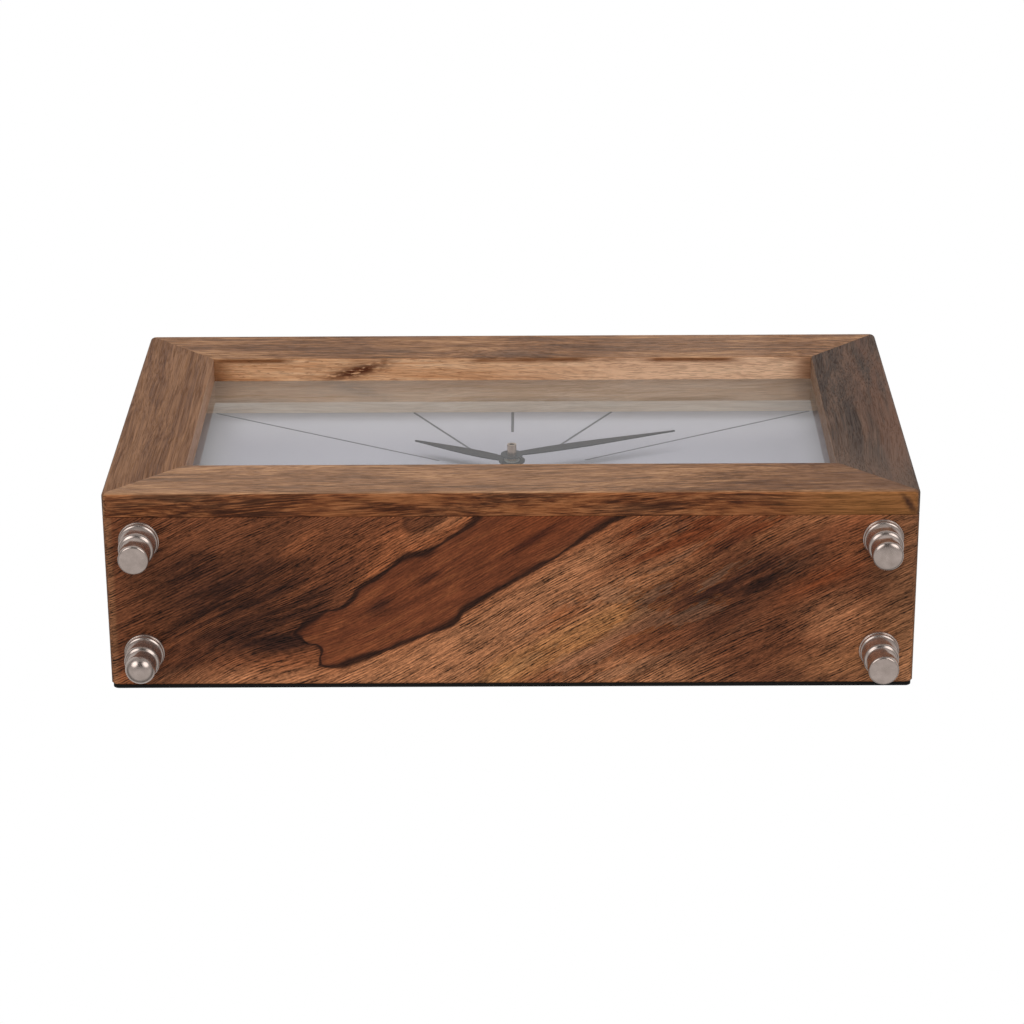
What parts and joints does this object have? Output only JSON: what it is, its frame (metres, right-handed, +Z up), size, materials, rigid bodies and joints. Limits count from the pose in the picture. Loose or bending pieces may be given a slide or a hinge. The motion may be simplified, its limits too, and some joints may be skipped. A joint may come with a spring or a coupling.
{
  "type": "table clock",
  "caption": "Rectangular wooden table clock on turned metal feet, with a mitred frame, a glazed plain dial, leaf hands and a battery quartz movement reached from the back.",
  "frame": {"origin": "middle of the overall box at the level of the ends of the feet", "axes": "+Z up, the dial faces -Y, +X to the right as seen from the dial's front"},
  "size_m": [0.25, 0.0658, 0.1605],
  "materials": {
    "frame_wood": "satin oiled hardwood, grain along each member",
    "case_wood": "satin oiled hardwood with dark figure",
    "spacer_wood": "pale planed wood",
    "glass": "clear sheet glass",
    "dial_white": "matt white printed sheet",
    "board_wood": "plain fibreboard and glue blocks",
    "back_black": "black board",
    "nickel": "polished nickel plate",
    "hand_black": "satin black lacquer",
    "brass": "bright brass",
    "movement_plastic": "moulded black plastic",
    "wheel_plastic": "moulded natural plastic",
    "knob_plastic": "moulded black plastic",
    "rubber": "soft black rubber",
    "magnet": "dark sintered magnet",
    "steel": "bright steel",
    "coil_copper": "enamelled copper winding",
    "circuit_green": "green circuit board",
    "battery_jacket": "plain printed jacket"
  },
  "bodies": {
    "case": {"frame_top": "frame_wood", "frame_bottom": "frame_wood", "frame_left": "frame_wood", "frame_right": "frame_wood", "case_top": "case_wood", "case_bottom": "case_wood", "case_left": "case_wood", "case_right": "case_wood", "spacer_top": "spacer_wood", "spacer_bottom": "spacer_wood", "spacer_left": "spacer_wood", "spacer_right": "spacer_wood", "glass_pane": "glass", "dial_face": "dial_white", "dial_board": "board_wood", "corner_blocks": "board_wood", "back_cover": "back_black", "front_feet": "nickel", "rear_feet": "nickel", "bush_nut": "brass", "movement_front_shell": "movement_plastic", "movement_back_shell": "movement_plastic", "train_plate": "movement_plastic", "movement_gasket": "rubber", "stator_plate": "steel", "positive_contact": "steel", "negative_contact": "steel", "quartz_crystal": "steel", "coil_bobbin": "coil_copper", "circuit_board": "circuit_green"},
    "minute": {"minute_arbor": "brass", "minute_hand": "hand_black"},
    "hour": {"hour_wheel": "wheel_plastic", "hour_hand": "hand_black"},
    "motion": {"motion_wheel": "wheel_plastic"},
    "setting": {"setting_arbor": "wheel_plastic", "setting_knob": "knob_plastic"},
    "rotor": {"rotor_pinion": "wheel_plastic", "rotor_magnet": "magnet"},
    "fifth": {"fifth_wheel": "wheel_plastic"},
    "fourth": {"fourth_wheel": "wheel_plastic"},
    "third": {"third_wheel": "wheel_plastic"},
    "centre": {"centre_wheel": "wheel_plastic"},
    "battery": {"battery": "battery_jacket"}
  },
  "joints": [
    {"name": "minute_hand_spin", "type": "hinge", "parent": "case", "child": "minute", "pos_m": [0, 0.00015, 0.08825], "axis": [0, 1, 0], "continuous": true},
    {"name": "hour_hand_spin", "type": "hinge", "parent": "case", "child": "hour", "pos_m": [0, 0.00015, 0.08825], "axis": [0, 1, 0], "continuous": true},
    {"name": "motion_wheel_spin", "type": "hinge", "parent": "case", "child": "motion", "pos_m": [0.00752, 0.00015, 0.09099], "axis": [0, 1, 0], "continuous": true},
    {"name": "setting_knob_spin", "type": "hinge", "parent": "case", "child": "setting", "pos_m": [0.01618, 0.00015, 0.09599], "axis": [0, 1, 0], "continuous": true},
    {"name": "rotor_spin", "type": "hinge", "parent": "case", "child": "rotor", "pos_m": [0.00581, 0.00015, 0.10086], "axis": [0, 1, 0], "continuous": true},
    {"name": "fifth_wheel_spin", "type": "hinge", "parent": "case", "child": "fifth", "pos_m": [-0.00112, 0.00015, 0.10086], "axis": [0, 1, 0], "continuous": true},
    {"name": "fourth_wheel_spin", "type": "hinge", "parent": "case", "child": "fourth", "pos_m": [-0.00832, 0.00015, 0.10086], "axis": [0, 1, 0], "continuous": true},
    {"name": "third_wheel_spin", "type": "hinge", "parent": "case", "child": "third", "pos_m": [-0.00905, 0.00015, 0.09247], "axis": [0, 1, 0], "continuous": true},
    {"name": "centre_wheel_spin", "type": "hinge", "parent": "case", "child": "centre", "pos_m": [0, 0.00015, 0.08825], "axis": [0, 1, 0], "continuous": true},
    {"name": "battery_slide", "type": "slide", "parent": "case", "child": "battery", "axis": [0, 1, 0], "range_m": [0, 0.04]}
  ],
  "couplings": [
    {"joint": "hour_hand_spin", "follows": "minute_hand_spin", "ratio": 0.083333},
    {"joint": "motion_wheel_spin", "follows": "minute_hand_spin", "ratio": -0.33333},
    {"joint": "setting_knob_spin", "follows": "minute_hand_spin", "ratio": 0.5},
    {"joint": "fifth_wheel_spin", "follows": "rotor_spin", "ratio": -0.16667},
    {"joint": "fourth_wheel_spin", "follows": "rotor_spin", "ratio": 0.033333},
    {"joint": "third_wheel_spin", "follows": "rotor_spin", "ratio": -0.0044444},
    {"joint": "centre_wheel_spin", "follows": "rotor_spin", "ratio": 0.00055556}
  ]
}
